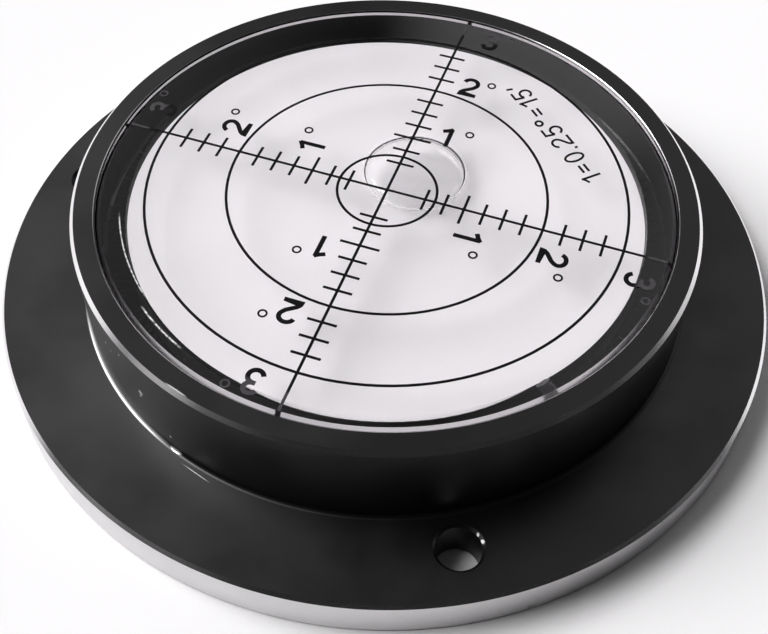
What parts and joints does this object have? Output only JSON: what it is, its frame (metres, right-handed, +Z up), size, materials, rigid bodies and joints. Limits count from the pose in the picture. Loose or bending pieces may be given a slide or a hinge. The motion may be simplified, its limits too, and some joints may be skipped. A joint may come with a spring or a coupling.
{
  "type": "bullseye level",
  "caption": "Flange-mounted circular bubble level: black collar on a drilled flange, clear vial with a printed degree scale and a bubble that seeks the high side.",
  "frame": {"origin": "centre of the flange's underside", "axes": "+Z up along the axis of the collar, +Y along one arm of the printed crosshair, +X along the next arm clockwise seen from above"},
  "size_m": [0.1, 0.1, 0.0186],
  "materials": {
    "anodised_aluminium": "satin",
    "clear_acrylic": "polished",
    "white_acrylic": "satin",
    "plug_acrylic": "polished",
    "cement": "gloss",
    "bedding_adhesive": "matte",
    "black_ink": "matte",
    "vial_liquid": "polished",
    "bubble_air": "polished"
  },
  "bodies": {
    "level": {"housing": "anodised_aluminium", "vial": "clear_acrylic", "base_disc": "white_acrylic", "filler_plug": "plug_acrylic", "cement_bead": "cement", "bedding_ring": "bedding_adhesive", "graduation": "black_ink", "liquid": "vial_liquid"},
    "bubble": {"bubble": "bubble_air"}
  },
  "joints": [
    {"name": "bubble_travel", "type": "hinge", "parent": "level", "child": "bubble", "pos_m": [0, 0, -0.55662], "axis": [-0.9593, 0.2823, 0], "range_deg": [-3.18, 1.96], "stiffness_Nm_per_rad": 0.0029, "springref_deg": -0.62, "deforming": ["liquid"]}
  ]
}
